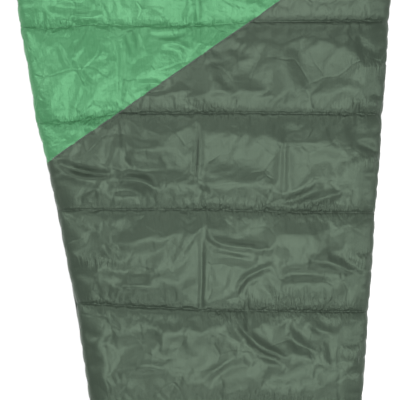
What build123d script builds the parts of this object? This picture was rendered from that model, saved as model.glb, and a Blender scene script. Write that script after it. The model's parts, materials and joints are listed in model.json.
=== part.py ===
"""Mummy sleeping bag, laid flat and zipped shut, as its separate sewn and moulded pieces.

Millimetres. +Z is up, +Y points to the hood and +X to the zip side. The origin is on the floor at the
middle of the bag. The bag is a base quilt under a cover quilt. Each quilt is an outer fabric, a batt of
insulation and a lining. The cover's zip-side corner folds back along a slanting line, and the hood folds
up across the neck.
"""

import os
from math import asin, cos, degrees, hypot, sin, sqrt

from build123d import *

# Plan of the bag
CENTRE_X = -3.0
HALF_WIDTH = 402.0  # at the shoulders
HOOD_ROOT_Y = 660.0  # the round of the hood starts here
HOOD_LENGTH = 456.0
FOOT_Y = -1080.0
FOOT_CORNER = 115.0  # radius
ZIP_TAPER = 0.0715  # sideways step of the zip side for each mm towards the foot
LEFT_EDGE = [(-383, 350), (-341, 110), (-291, -130), (-249, -370), (-212, -650), (-181, -930)]
LEFT_TAPER = 0.11  # sideways step of the left side for each mm towards the foot, past those points
NECK_Y = 640.0  # the cover ends here, and the opening for the face begins
HOOD_SPLIT_Y = 705.0  # the base quilt folds here
COLOUR_SEAM = [(-305, 32), (388, 513)]  # between the green chest panel and the dark leg panel
FOLD_FOOT_Y = -800.0  # the cover's fold line runs from the zip side here
FOLD_NECK_X = -100.0  # to the neck edge here

# Heights
FABRIC = 1.0
BASE_TOP = 22.0
COVER_LOW = 32.0
COVER_TOP = 62.0
QUILT_INSET = 6.0  # the quilts' side walls stand this far inside the plan
BASE_ROUND = 12.0
COVER_ROUND = 18.0
FOLD_Z = 64.5  # both fold lines lie just above the cover
BODY_GAP = 0.3  # half the gap between two pieces that move apart

# Hood wall and its drawcord
WALL_TOP = 48.0
WALL_INSET = 28.0  # inner face
CASING_INSETS = (9.0, 25.0)
CASING_TOP = 61.0
CASING_END_Y = 805.0  # where the cord leaves the casing on the zip side
CORD_INSET = 17.0
CORD_Z = 56.0
CORD_R = 2.0
CORD_HOLE_R = 2.5

# Baffles inside
BAFFLE_INSETS = (12.0, 34.0)
BAFFLE_SPLIT_Y = -875.0  # the left baffle meets the foot baffle
TUBE_INSETS = (36.0, 56.0)
TUBE_ENDS_Y = (-620.0, 625.0)

# Zip, in its own frame: out from the side wall, along towards the hood, and up
ZIP_Y = 600.0  # the coils' top end
ZIP_Z = 27.0  # the line where the two coils meet
ZIP_END = -1475.0  # the tapes' bottom end, along the zip
COIL_END = -1454.0
TAPE_TOP = 22.0
TAPE_OUT = (0.0, 0.9)
TAPE_UP = (1.4, 16.0)
COIL_OUT = (0.9, 3.3)
COIL_UP = (1.0, 4.0)
COVER_END_Y = -815.0  # the cover's zip half stays shut below this
FLAP_END_Y = -765.0  # and swings with the flap above this
SLIDER_REST = -14.0  # the slider's middle when the bag is shut
SLIDER_LENGTH = 26.0
PULL_PIVOT = (6.8, 3.0)  # out and along from the slider's middle
INNER_PIVOT = (-3.4, 3.0)

BIG = 3000.0  # longer than the bag, for cutting


def zip_side_x(y):
    """The straight outline on the zip side."""
    return CENTRE_X + HALF_WIDTH - ZIP_TAPER * (HOOD_ROOT_Y - y)


def plan(inset=0.0):
    """The bag's outline as a face, pulled in all round by inset."""
    wide = HALF_WIDTH - inset
    foot = FOOT_Y + inset
    left = [(x + inset, y) for x, y in LEFT_EDGE]
    foot_left = (left[-1][0] + LEFT_TAPER * (left[-1][1] - foot), foot)
    foot_right = (zip_side_x(foot) - inset, foot)
    edges = [
        EllipticalCenterArc((CENTRE_X, HOOD_ROOT_Y), wide, HOOD_LENGTH - inset, start_angle=0, arc_size=180),
        Spline((CENTRE_X - wide, HOOD_ROOT_Y), *left, tangents=[(0, -1), (LEFT_TAPER, -1)]),
        Polyline(left[-1], foot_left, foot_right, (CENTRE_X + wide, HOOD_ROOT_Y)),
    ]
    outline = make_face(edges)
    return fillet(outline.vertices().sort_by(Axis.Y)[:2], FOOT_CORNER - inset)


def slab(inset, low, high, round_low=0.0, round_high=0.0):
    """The whole plan as a flat solid, with its low or high rim rounded."""
    body = Pos(0, 0, low) * extrude(plan(inset), amount=high - low)
    if round_low:
        body = fillet(body.edges().group_by(Axis.Z)[0], round_low)
    if round_high:
        body = fillet(body.edges().group_by(Axis.Z)[-1], round_high)
    return body


def ring(inset_out, inset_in, low, high):
    """A band that follows the plan between two insets."""
    return slab(inset_out, low, high) - slab(inset_in, low - 1, high + 1)


def toward_hood(y):
    """Everything past y, as a cutting box."""
    return Pos(0, y + BIG / 2, 0) * Box(BIG, BIG, BIG)


def toward_foot(y):
    return Pos(0, y - BIG / 2, 0) * Box(BIG, BIG, BIG)


def beside(start, end, gap):
    """Everything to the right of the line from start to end, gap away from it."""
    along = Vector(end[0] - start[0], end[1] - start[1]).normalized()
    right = Vector(along.Y, -along.X)
    origin = Vector(*start) + right * (gap + BIG / 2)
    return Plane(origin=origin, x_dir=right, z_dir=(0, 0, 1)) * Box(BIG, BIG, BIG)


FOLD_START = (zip_side_x(FOLD_FOOT_Y), FOLD_FOOT_Y)
FOLD_END = (FOLD_NECK_X, NECK_Y)


def flap_side():
    return beside(FOLD_START, FOLD_END, BODY_GAP)


def fixed_side():
    return beside(FOLD_END, FOLD_START, BODY_GAP)


def leg_side():
    return beside(*COLOUR_SEAM, 0.0)


def chest_side():
    return beside(COLOUR_SEAM[1], COLOUR_SEAM[0], 0.0)


def base_quilts():
    """The base and hood back: shell, batt and lining of one long quilt, parted at the hood fold."""
    inner = QUILT_INSET + FABRIC
    tray = slab(QUILT_INSET, 0, BASE_TOP - FABRIC, round_low=BASE_ROUND)
    batt = slab(inner, FABRIC, BASE_TOP - FABRIC, round_low=BASE_ROUND - FABRIC)
    layers = {"shell": tray - batt, "batt": batt, "lining": slab(QUILT_INSET, BASE_TOP - FABRIC, BASE_TOP)}
    nodes = {}
    for name, layer in layers.items():
        nodes["base_" + name] = layer & toward_foot(HOOD_SPLIT_Y - 2 * BODY_GAP)
        nodes["hood_" + name] = layer & toward_hood(HOOD_SPLIT_Y)
    return nodes


def cover_quilt():
    """The cover: two shell panels, batt and lining, each parted at the fold line."""
    inner = QUILT_INSET + FABRIC
    inside_neck = NECK_Y - FABRIC
    outside = slab(QUILT_INSET, COVER_LOW, COVER_TOP, round_high=COVER_ROUND) & toward_foot(NECK_Y)
    core = slab(inner, COVER_LOW, COVER_TOP - FABRIC, round_high=COVER_ROUND - FABRIC)
    core = core & toward_foot(inside_neck)
    shell = outside - core
    lining_box = Pos(0, 0, COVER_LOW + FABRIC / 2) * Box(BIG, BIG, FABRIC)
    batt = core - lining_box
    lining = core & lining_box
    nodes = {}
    for part, side in (("", fixed_side()), ("_flap", flap_side())):
        nodes["chest_panel" + part] = shell & chest_side() & side
        nodes["leg_panel" + part] = shell & leg_side() & side
        nodes["cover_batt" + part] = batt & side
        nodes["cover_lining" + part] = lining & side
    return nodes


def baffles():
    """Insulated strips between the two quilts: down the left side and round the foot."""
    band = ring(*BAFFLE_INSETS, BASE_TOP, COVER_LOW)
    left_half = Pos(-BIG / 2, 0, 0) * Box(BIG, BIG, BIG)
    left = band & left_half & toward_hood(BAFFLE_SPLIT_Y) & toward_foot(NECK_Y - 4)
    return {"left_block_baffle": left, "foot_baffle": band & toward_foot(BAFFLE_SPLIT_Y)}


def draft_tube():
    """The tube that hangs behind the zip, sewn to the cover's flap."""
    near, far = TUBE_INSETS
    low, high = TUBE_ENDS_Y
    gap = BASE_TOP + 0.5
    corners = [(zip_side_x(y) - inset, y) for y, inset in ((low, near), (high, near), (high, far), (low, far))]
    body = Pos(0, 0, gap) * extrude(make_face(Polyline(*corners, close=True)), amount=COVER_LOW - gap)
    long_low = body.edges().group_by(Axis.Z)[0].sort_by(SortBy.LENGTH)[-2:]
    return {"draft_tube": fillet(long_low, 4.0)}


ZIP_PLANE = Plane(
    origin=(zip_side_x(ZIP_Y) - QUILT_INSET, ZIP_Y, ZIP_Z), x_dir=(1, -ZIP_TAPER, 0), z_dir=(0, 0, 1)
)


def along_zip(y):
    """A row Y as a distance along the zip, from the coils' top end."""
    return (y - ZIP_Y) * hypot(1, ZIP_TAPER)


def block(out, along, up):
    """A box in the zip's frame, from three (low, high) pairs."""
    size = [high - low for low, high in (out, along, up)]
    centre = [(high + low) / 2 for low, high in (out, along, up)]
    return ZIP_PLANE * (Pos(*centre) * Box(*size))


def round_corners(body, radius, foot_end_only=False):
    """Round a plate's corners, seen from the side the zip faces."""
    corners = body.edges().filter_by(lambda edge: abs(edge.tangent_at(0).X) > 0.9).sort_by(Axis.Y)
    return fillet(corners[:2] if foot_end_only else corners, radius)


def mirrored(up):
    """The same heights below the zip's middle line."""
    return (-up[1], -up[0])


def zip_chain():
    """Tapes, coils and stops. The base's half is whole, and the cover's half is parted at the fold."""
    fixed_top, flap_low = along_zip(COVER_END_Y), along_zip(FLAP_END_Y)
    stop_out = (COIL_OUT[0], COIL_OUT[1] + 0.5)
    top_stop_along = (0.2, 3.2)
    top_stop_up = (COIL_UP[0], COIL_UP[1] + 0.6)
    return {
        "zip_tape_base": block(TAPE_OUT, (ZIP_END, TAPE_TOP), mirrored(TAPE_UP)),
        "zip_tape_cover": block(TAPE_OUT, (ZIP_END, fixed_top), TAPE_UP),
        "zip_tape_cover_flap": block(TAPE_OUT, (flap_low, TAPE_TOP), TAPE_UP),
        "zip_coil_base": block(COIL_OUT, (COIL_END, 0), mirrored(COIL_UP)),
        "zip_coil_cover": block(COIL_OUT, (COIL_END, fixed_top), COIL_UP),
        "zip_coil_cover_flap": block(COIL_OUT, (flap_low, 0), COIL_UP),
        "zip_top_stop_base": block(stop_out, top_stop_along, mirrored(top_stop_up)),
        "zip_top_stop_cover": block(stop_out, top_stop_along, top_stop_up),
        "zip_bottom_stop": block(stop_out, (COIL_END - 7, COIL_END - 0.3), (-5, 5)),
    }


def slider():
    """The slider: two wings either side of the tapes, the post between the coils, and a bridge each side."""
    half = SLIDER_LENGTH / 2
    mid = SLIDER_REST
    outer = round_corners(block((4.1, 5.4), (mid - half, mid + half), (-6.5, 6.5)), 4.5)
    inner = block((-1.6, -0.3), (mid - half + 1, mid + half - 1), (-4.5, 4.5))
    post = block((-0.4, 4.2), (mid + 6, mid + 12), (-0.6, 0.6))
    lip = block((1.4, 4.2), (mid - half + 1, mid + half - 5), (-6.5, -5.2))
    body = outer + inner + post + lip
    for root, top, wide in ((5.4, 9.6, 1.2), (-1.6, -5.6, 1.0)):
        window = (top - 1.2 if top > 0 else top + 1.0)
        arch = block(sorted((root, top)), (mid - 9, mid + 8), (-wide, wide))
        hole = block(sorted((root, window)), (mid - 7.4, mid + 6.4), (-wide - 1, wide + 1))
        body = body + (arch - hole)
    return {"zip_slider": body}


def pull(pivot, length, wide, thick, window):
    """A flat pull that lies towards the foot: an eye over the bridge, with its round bar at the pivot."""
    out, along = pivot[0], SLIDER_REST + pivot[1]
    plate = block((out - thick / 2, out + thick / 2), (along - length, along + 0.9), (-wide / 2, wide / 2))
    plate = round_corners(plate, wide / 2 - 0.6, foot_end_only=True)
    eye = block((out - thick, out + thick), (along - window, along + 1), (-1.7, 1.7))
    bar = ZIP_PLANE * (Pos(out, along, 0) * Cylinder(0.8, wide - 1))
    return (plate - eye) + bar


def pulls():
    """The outer pull with its moulded grip, and the plain inner pull."""
    outer = pull(PULL_PIVOT, 36.0, 8.0, 1.6, 13.5)
    out, along = PULL_PIVOT[0], SLIDER_REST + PULL_PIVOT[1]
    grip = round_corners(block((out - 1.5, out + 1.5), (along - 46, along - 20), (-5.5, 5.5)), 4.5)
    inner = pull(INNER_PIVOT, 22.0, 7.0, 1.2, 13.2)
    return {"zip_pull": outer, "zip_pull_grip": grip - outer, "zip_inner_pull": inner}


def closure_tab():
    """The hook-and-loop tab over the zip's top end, hinged where it is sewn to the cover."""
    along = (5.0, 33.0)
    top = FOLD_Z - 0.5 - ZIP_Z
    cover_top = COVER_TOP - ZIP_Z
    under = cover_top + 0.5
    hinge_out = -30.0
    anchor = block((hinge_out - 18, hinge_out - BODY_GAP), along, (cover_top, top))
    flat = block((hinge_out, 4.3), along, (under, top))
    drop = block((2.9, 4.3), along, (-15.0, top))
    patch_along = (6.0, 32.0)
    patch_up = (-15.0, -3.0)
    return {
        "closure_tab_anchor": anchor,
        "closure_tab": flat + drop,
        "closure_hook_patch": block((2.1, 2.9), patch_along, patch_up),
        "closure_loop_patch": block((0.95, 1.8), patch_along, patch_up),
    }


def hood_arc(inset, y):
    """A point of the hood's oval on the zip side, and the unit direction along it towards the neck."""
    wide, high = HALF_WIDTH - inset, HOOD_LENGTH - inset
    turn = asin((y - HOOD_ROOT_Y) / high)
    point = Vector(CENTRE_X + wide * cos(turn), y, CORD_Z)
    return point, Vector(wide * sin(turn), -high * cos(turn), 0).normalized()


CASING_END, CORD_WAY = hood_arc(CORD_INSET, CASING_END_Y)
LOCK_FROM_END = 9.8
LOCK_PLANE = Plane(origin=CASING_END + CORD_WAY * LOCK_FROM_END, x_dir=CORD_WAY, z_dir=(0, 0, 1))
CORD_STRAIGHT = 26.0  # from the casing's end through the lock into the end stop


def cord_path():
    """Straight through the lock, then round the hood's oval to the left neck."""
    wide, high = HALF_WIDTH - CORD_INSET, HOOD_LENGTH - CORD_INSET
    start = (CASING_END_Y - HOOD_ROOT_Y) / high
    end = (HOOD_SPLIT_Y + 12 - HOOD_ROOT_Y) / high
    first, last = degrees(asin(start)), 180 - degrees(asin(end))
    oval = EllipticalCenterArc((CENTRE_X, HOOD_ROOT_Y, CORD_Z), wide, high, start_angle=first, arc_size=last - first)
    straight = Line(CASING_END + CORD_WAY * CORD_STRAIGHT, CASING_END)
    return straight, oval


def round_along(path, radius):
    """A round bar along one edge."""
    return sweep(Plane(origin=path @ 0, z_dir=path % 0) * Circle(radius), path=path)


def hood_wall():
    """The padded wall round the hood, its casing, the drawcord inside and the casing's eyelet."""
    hood = toward_hood(HOOD_SPLIT_Y)
    neck = toward_hood(NECK_Y + 5) & toward_foot(HOOD_SPLIT_Y - 2 * BODY_GAP)
    wall = ring(QUILT_INSET, WALL_INSET, BASE_TOP, WALL_TOP)
    skin_out = ring(QUILT_INSET, QUILT_INSET + FABRIC, BASE_TOP, WALL_TOP)
    skin_in = ring(WALL_INSET - FABRIC, WALL_INSET, BASE_TOP, WALL_TOP)
    core = ring(QUILT_INSET + FABRIC, WALL_INSET - FABRIC, BASE_TOP, WALL_TOP)
    left_half = Pos(-BIG / 2, 0, 0) * Box(BIG, BIG, BIG)
    right_half = Pos(BIG / 2, 0, 0) * Box(BIG, BIG, BIG)
    straight, oval = cord_path()
    channel = round_along(oval, CORD_HOLE_R) + round_along(straight, CORD_HOLE_R)
    past_lock = Plane(origin=CASING_END - CORD_WAY * (BIG / 2), x_dir=CORD_WAY, z_dir=(0, 0, 1)) * Box(
        BIG, BIG, BIG
    )
    casing = ring(*CASING_INSETS, WALL_TOP, CASING_TOP) & hood
    casing = casing & (past_lock + left_half) - channel
    cord = round_along(oval, CORD_R) + round_along(straight, CORD_R)
    eyelet = Cylinder(5.5, 1.6) - Cylinder(CORD_HOLE_R, 4)
    eyelet = Plane(origin=CASING_END + CORD_WAY * 0.8, z_dir=CORD_WAY) * eyelet
    return {
        "hood_wall_batt": core & hood,
        "hood_wall_shell": skin_out & hood,
        "hood_wall_lining": skin_in & hood,
        "neck_wall_left": wall & neck & left_half,
        "neck_wall_right": wall & neck & right_half,
        "drawcord_casing": casing,
        "drawcord": cord,
        "casing_eyelet": eyelet,
    }


def cord_lock():
    """The spring toggle on the drawcord: barrel, button, spring, and the stop on the cord's end."""
    barrel_r, bore_r, button_r = CORD_Z - WALL_TOP, 5.4, 5.1
    closed_end, bore_end, open_end = 12.0, 10.5, -7.0
    across = Rot(90, 0, 0)  # turns a cylinder's axis to lie across the cord

    def round_across(radius, low, high):
        return Pos(0, (low + high) / 2, 0) * (across * Cylinder(radius, high - low))

    def round_forward(radius, low, high):
        return Pos((low + high) / 2, 0, 0) * (Rot(0, 90, 0) * Cylinder(radius, high - low))

    barrel = fillet(round_across(barrel_r, open_end, closed_end).edges().filter_by(GeomType.CIRCLE), 1.2)
    barrel = barrel - round_across(bore_r, open_end - 1, bore_end) - round_forward(CORD_HOLE_R, -10, 10)
    button = fillet(round_across(button_r, -12.5, 3.4).edges().filter_by(GeomType.CIRCLE), 0.8)
    button = button - Pos(0, (-6.3 + 2.15) / 2, 0) * Box(12, 6.3 + 2.15, 4.6)
    spring_low, spring_high, turns = 3.7, bore_end - 0.3, 4
    wire_r, coil_r = 0.4, 3.2
    rise = spring_high - spring_low - 2 * wire_r
    coil = Helix(pitch=rise / turns, height=rise, radius=coil_r)
    spring = sweep(Plane(origin=coil @ 0, z_dir=coil % 0) * Circle(wire_r), path=coil, is_frenet=True)
    spring = Pos(0, spring_low + wire_r, 0) * (Rot(-90, 0, 0) * spring)
    stop = Cone(4.6, 3.2, 10) - Pos(0, 0, -1.0) * Cylinder(CORD_R + 0.05, 8.2)
    stop_start = CORD_STRAIGHT - LOCK_FROM_END - 7.9
    stop = Pos(stop_start + 5, 0, 0) * (Rot(0, 90, 0) * stop)
    pieces = {"cord_lock_barrel": barrel, "cord_lock_button": button, "cord_lock_spring": spring}
    pieces["cord_end_stop"] = stop
    return {name: LOCK_PLANE * piece for name, piece in pieces.items()}


def hanging_loops():
    """Two webbing loops that lie on the floor past the foot end."""
    wide, high, thick = 12.0, 10.0, 1.4
    length = 36.0  # between the centres of the round ends
    pivot_y = FOOT_Y + QUILT_INSET - high / 2 - BODY_GAP
    middle = (LEFT_EDGE[-1][0] + zip_side_x(LEFT_EDGE[-1][1])) / 2
    spacing = 260.0
    outline = SlotCenterToCenter(length, high) - SlotCenterToCenter(length, high - 2 * thick)
    nodes = {}
    for name, x in (("left", middle - spacing / 2), ("right", middle + spacing / 2)):
        plane = Plane(origin=(x - wide / 2, pivot_y - length / 2, high / 2), x_dir=(0, 1, 0), z_dir=(1, 0, 0))
        nodes["hanging_loop_" + name] = extrude(plane * outline, amount=wide)
    return nodes


def build():
    nodes = {}
    for group in (
        base_quilts, cover_quilt, baffles, draft_tube, zip_chain, slider, pulls,
        closure_tab, hood_wall, cord_lock, hanging_loops,
    ):
        nodes.update(group())
    return nodes


os.makedirs("parts", exist_ok=True)
for node_name, node_shape in build().items():
    export_step(node_shape, f"parts/{node_name}.step")
    print(node_name, round(node_shape.volume), [round(v, 1) for v in node_shape.bounding_box().size])
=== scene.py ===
"""A mummy sleeping bag, flat and zipped shut: satin cover in two colours, quilted base, side zip and hood.

Metres, in the CAD frame: +Z up, +Y to the hood, +X to the zip side.
"""

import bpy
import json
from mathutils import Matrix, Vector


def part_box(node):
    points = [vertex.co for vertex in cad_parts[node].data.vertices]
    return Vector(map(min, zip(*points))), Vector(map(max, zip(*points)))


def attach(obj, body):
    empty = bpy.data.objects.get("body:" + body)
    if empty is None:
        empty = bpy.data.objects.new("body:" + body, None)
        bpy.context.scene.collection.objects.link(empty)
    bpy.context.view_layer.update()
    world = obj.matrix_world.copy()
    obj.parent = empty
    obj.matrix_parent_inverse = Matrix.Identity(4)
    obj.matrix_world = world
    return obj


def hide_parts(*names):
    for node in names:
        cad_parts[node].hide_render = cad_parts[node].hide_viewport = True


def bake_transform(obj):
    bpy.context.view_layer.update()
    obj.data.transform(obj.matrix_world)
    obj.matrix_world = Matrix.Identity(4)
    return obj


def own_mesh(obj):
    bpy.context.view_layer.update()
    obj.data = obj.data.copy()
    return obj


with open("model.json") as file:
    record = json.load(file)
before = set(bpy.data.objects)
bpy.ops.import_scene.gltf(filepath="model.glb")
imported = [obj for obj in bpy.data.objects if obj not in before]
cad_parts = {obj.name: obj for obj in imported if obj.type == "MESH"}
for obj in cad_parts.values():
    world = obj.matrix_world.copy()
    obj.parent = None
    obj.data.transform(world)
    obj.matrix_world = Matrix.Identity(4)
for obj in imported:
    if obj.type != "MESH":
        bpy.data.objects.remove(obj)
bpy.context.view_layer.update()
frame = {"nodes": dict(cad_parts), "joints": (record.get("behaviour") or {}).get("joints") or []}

import json
from math import cos, pi, sin

import bmesh
import bpy
import numpy as np
from mathutils import Vector, noise

nodes = frame["nodes"]
joints = {joint["name"]: joint for joint in frame["joints"]}

# ---------------------------------------------------------------- places taken from the frame

QUILT_LINES = (-0.862, -0.664, -0.466, -0.272, -0.074, 0.124, 0.306, 0.504)  # y of each line
HOOD_LINES = (0.702, 0.86, 1.0)  # y of those across the hood
COLOUR_SEAM = ((-0.305, 0.032), (0.388, 0.513))  # the ends of the seam between the cover's two panels
SEAM_SLOPE = (COLOUR_SEAM[1][1] - COLOUR_SEAM[0][1]) / (COLOUR_SEAM[1][0] - COLOUR_SEAM[0][0])

NECK_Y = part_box("chest_panel")[1].y
SEAM_Z = (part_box("base_lining")[1].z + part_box("cover_lining")[0].z) / 2  # where cover and base meet
COVER_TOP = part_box("chest_panel")[1].z
LINING_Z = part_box("base_lining")[1].z
HOOD_Y = joints["hood_fold"]["pos_m"][1]

zip_down = Vector(joints["zip_slide"]["axis"])
zip_out = Vector((-zip_down.y, zip_down.x, 0))


def vertices(*names):
    """All the vertices of some CAD nodes."""
    return np.concatenate([np.array([v.co for v in nodes[n].data.vertices]) for n in names])


def bar_ends(*names):
    """The middle of the hood end and of the foot end of a bar that runs along the zip."""
    points = vertices(*names)
    down, out = np.array(zip_down), np.array(zip_out)
    along = points @ down
    middle = out * ((points @ out).min() + (points @ out).max()) / 2
    middle[2] = (points[:, 2].min() + points[:, 2].max()) / 2
    return middle + down * along.min(), middle + down * along.max()


def rim_loop(count):
    """The quilts' plan, anticlockwise from the zip side, evenly spaced and smooth."""
    points = vertices("base_lining", "hood_lining")
    points = points[points[:, 2] > LINING_Z - 1e-4][:, :2]
    centre = np.array([0.0, -0.05])
    shared = (abs(points[:, 1] - HOOD_Y) < 0.002) & (abs(points[:, 0] - centre[0]) < 0.38)
    points = points[~shared]  # the edge that base and hood share isn't part of the rim
    angle = np.arctan2(*(points - centre).T[::-1])
    points = points[np.argsort(angle)]
    points = np.vstack([points, points[:1]])
    gap = np.hypot(*np.diff(points, axis=0).T)
    keep = np.concatenate([[True], gap > 1e-5])
    points = points[keep]
    run = np.concatenate([[0], np.cumsum(np.hypot(*np.diff(points, axis=0).T))])
    at = np.linspace(0, run[-1], 4 * count, endpoint=False)
    loop = np.stack([np.interp(at, run, points[:, k]) for k in (0, 1)], 1)
    spread = 3.0 * count / 700
    kernel = np.exp(-0.5 * (np.arange(-12, 13) / spread) ** 2)
    padded = np.vstack([loop[-12:], loop, loop[:12]])
    loop = np.stack([np.convolve(padded[:, k], kernel / kernel.sum(), "valid") for k in (0, 1)], 1)
    return loop[::4]


LOOP = rim_loop(760)


def loop_normals(loop):
    """The outward direction at each point of a loop."""
    run = np.roll(loop, -1, 0) - np.roll(loop, 1, 0)
    out = np.stack([run[:, 1], -run[:, 0]], 1)
    return out / np.hypot(*out.T)[:, None]


def sides_at(rows):
    """The left and right edges of the quilts at some values of y."""
    top, foot = LOOP[:, 1].argmax(), LOOP[:, 1].argmin()
    order = np.roll(LOOP, -foot, 0)
    split = (top - foot) % len(LOOP)
    right, left = order[: split + 1], order[split:][::-1]
    return np.interp(rows, left[:, 1], left[:, 0]), np.interp(rows, right[:, 1], right[:, 0])


# ---------------------------------------------------------------- mesh helpers


def smooth(t):
    """0 below 0, 1 above 1, and an S-shaped rise between."""
    t = np.clip(t, 0, 1)
    return t * t * (3 - 2 * t)


def cloud(x, y, size, seed, stretch=1.0):
    """Smooth noise from -1 to 1 over the plan. stretch above 1 draws it out along y."""
    flat = [
        noise.noise((a / size + seed, b / size / stretch, seed * 1.7)) for a, b in zip(x.ravel(), y.ravel())
    ]
    return np.array(flat).reshape(x.shape)


def noise_run(places, seed):
    """Smooth noise from -1 to 1 along a line."""
    return np.array([noise.noise((place, seed, 0)) for place in places])


def channels(y, lines, power=3.6):
    """0 on every quilting line and 1 midway between two."""
    out = np.zeros_like(y)
    for low, high in zip(lines, lines[1:]):
        inside = (y >= low) & (y <= high)
        middle = abs(2 * (y[inside] - low) / (high - low) - 1)
        out[inside] = np.clip(1 - middle**power, 0, 1) ** 0.55
    return out


def add_object(name, mesh):
    """Puts a mesh or lamp into the scene."""
    piece = bpy.data.objects.new(name, mesh)
    bpy.context.scene.collection.objects.link(piece)
    return piece


def grid_object(name, points, closed=False, loops=False, material=None):
    """A quad grid as an object, with a uv map in metres. closed joins its last column to its first, and
    loops its last row to its first."""
    rows, cols = points.shape[:2]
    index = np.arange(rows * cols).reshape(rows, cols)
    if closed:
        index = np.hstack([index, index[:, :1]])
    if loops:
        index = np.vstack([index, index[:1]])
    a, b, c, d = index[:-1, :-1], index[:-1, 1:], index[1:, 1:], index[1:, :-1]
    faces = np.stack([a, b, c, d], -1).reshape(-1, 4)
    mesh = bpy.data.meshes.new(name)
    mesh.from_pydata(points.reshape(-1, 3).tolist(), [], faces.tolist())
    spans = np.linalg.norm(np.diff(points, axis=1), axis=2).mean(0)
    lengths = np.linalg.norm(np.diff(points, axis=0), axis=2).mean(1)
    u = np.concatenate([[0], np.cumsum(spans)])
    v = np.concatenate([[0], np.cumsum(lengths)])
    if closed:
        u = np.append(u, u[-1] + spans.mean())
    if loops:
        v = np.append(v, v[-1] + lengths.mean())
    grid = np.stack(np.meshgrid(u, v), -1)
    corner = np.stack([grid[:-1, :-1], grid[:-1, 1:], grid[1:, 1:], grid[1:, :-1]], -2)
    mesh.uv_layers.new(name="cloth").data.foreach_set("uv", corner.reshape(-1).astype(np.float32))
    mesh.polygons.foreach_set("use_smooth", [True] * len(faces))
    if material:
        mesh.materials.append(material)
    return add_object(name, mesh)


def edit_mesh(piece, change):
    """Opens a piece's mesh, changes it and closes it again."""
    work = bmesh.new()
    work.from_mesh(piece.data)
    change(work)
    work.to_mesh(piece.data)
    work.free()
    return piece


def cap_ends(piece):
    """Closes the open ends of a tube."""

    def fill(work):
        bmesh.ops.holes_fill(work, edges=[e for e in work.edges if e.is_boundary], sides=0)

    return edit_mesh(piece, fill)


def weld(piece):
    """Joins vertices that lie on each other."""
    return edit_mesh(piece, lambda work: bmesh.ops.remove_doubles(work, verts=work.verts, dist=1e-5))


def at_height(plan, z):
    """Points of a plan, all at one height."""
    return np.column_stack([plan, np.full(len(plan), z)])


def height_at(points, x, y):
    """The height of a surface at a place, from the nearest of its points."""
    return points[np.hypot(points[:, 0] - x, points[:, 1] - y).argmin(), 2]


def distances(path):
    """How far along a path each of its points lies."""
    return np.concatenate([[0], np.cumsum(np.linalg.norm(np.diff(path, axis=0), axis=1))])


def directions(path):
    """The unit direction of a path at each of its points."""
    run = np.gradient(path, axis=0)
    return run / np.linalg.norm(run, axis=1)[:, None]


def resample(path, step):
    """A path with its points evenly spaced, about a step apart."""
    path = np.asarray(path, float)
    run = distances(path)
    count = max(2, int(round(run[-1] / step)) + 1)
    at = np.linspace(0, run[-1], count)
    return np.stack([np.interp(at, run, path[:, k]) for k in range(3)], 1)


def tube_points(path, wide, high, sides=12, ends=0.0, ripple=None):
    """Rings round a path: wide across it and high upwards. ends is the length over which its two ends are
    rounded off, and ripple a factor for each side of each ring."""
    path = np.asarray(path, float)
    run = directions(path)
    across = np.cross(run, (0.0, 0.0, 1.0))
    across /= np.linalg.norm(across, axis=1)[:, None]
    upward = np.cross(across, run)
    turn = np.linspace(0, 2 * pi, sides, endpoint=False)
    grow = np.ones(len(path))
    if ends:
        far = distances(path)
        near = np.minimum(far, far[-1] - far) / ends
        grow = np.sqrt(np.clip(1 - (1 - np.clip(near, 0, 1)) ** 2, 0.02, 1))
    grow = grow[:, None] * (np.ones((1, sides)) if ripple is None else ripple)
    return (
        path[:, None]
        + across[:, None] * (wide / 2 * grow * np.cos(turn))[:, :, None]
        + upward[:, None] * (high / 2 * grow * np.sin(turn))[:, :, None]
    )


def tube(name, path, wide, high, material, **more):
    """A closed tube along a path."""
    return cap_ends(grid_object(name, tube_points(path, wide, high, **more), closed=True, material=material))


def wire_along(name, path, axis, wire, sides, material):
    """A round wire along a path that winds round an axis."""
    run = directions(path)
    side = np.cross(run, axis)
    side /= np.linalg.norm(side, axis=1)[:, None]
    up = np.cross(side, run)
    turn = np.linspace(0, 2 * pi, sides, endpoint=False)
    points = (
        path[:, None]
        + side[:, None] * (wire / 2 * np.cos(turn))[None, :, None]
        + up[:, None] * (wire / 2 * np.sin(turn))[None, :, None]
    )
    return cap_ends(grid_object(name, points, closed=True, material=material))


def stitches(name, runs, material, pitch=0.0042, length=0.0030, thick=0.0006, sides=5):
    """Short rounded stitches along some paths, all in one mesh. Each run is (points, lift)."""
    verts, faces = [], []
    turn = np.linspace(0, 2 * pi, sides, endpoint=False)
    profile = [(-0.5, 0.25), (-0.32, 0.95), (0.32, 0.95), (0.5, 0.25)]  # (place along it, thickness)
    for path, lift in runs:
        path = resample(path, pitch)
        for place, along in zip(path, directions(path)):
            side = np.cross(along, (0, 0, 1))
            side /= max(np.linalg.norm(side), 1e-9)
            up = np.cross(side, along)
            start = len(verts)
            for share, width in profile:
                centre = place + up * lift + along * share * length
                verts += [centre + (side * cos(a) + up * sin(a)) * thick / 2 * width for a in turn]
            for k in range(3):
                for i in range(sides):
                    j = (i + 1) % sides
                    faces.append([start + k * sides + n for n in (i, j, j + sides, i + sides)])
            faces.append([start + i for i in range(sides)][::-1])
            faces.append([start + 3 * sides + i for i in range(sides)])
    mesh = bpy.data.meshes.new(name)
    mesh.from_pydata([tuple(v) for v in verts], [], faces)
    mesh.polygons.foreach_set("use_smooth", [True] * len(faces))
    mesh.materials.append(material)
    return add_object(name, mesh)


def set_gather(mesh, values):
    """How much the satin is gathered at each vertex, which its pleats follow."""
    layer = mesh.attributes.new("gather", "FLOAT", "POINT")
    layer.data.foreach_set("value", values.astype(np.float32))


# ---------------------------------------------------------------- placing the pieces, and hiding the CAD nodes they replace


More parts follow.
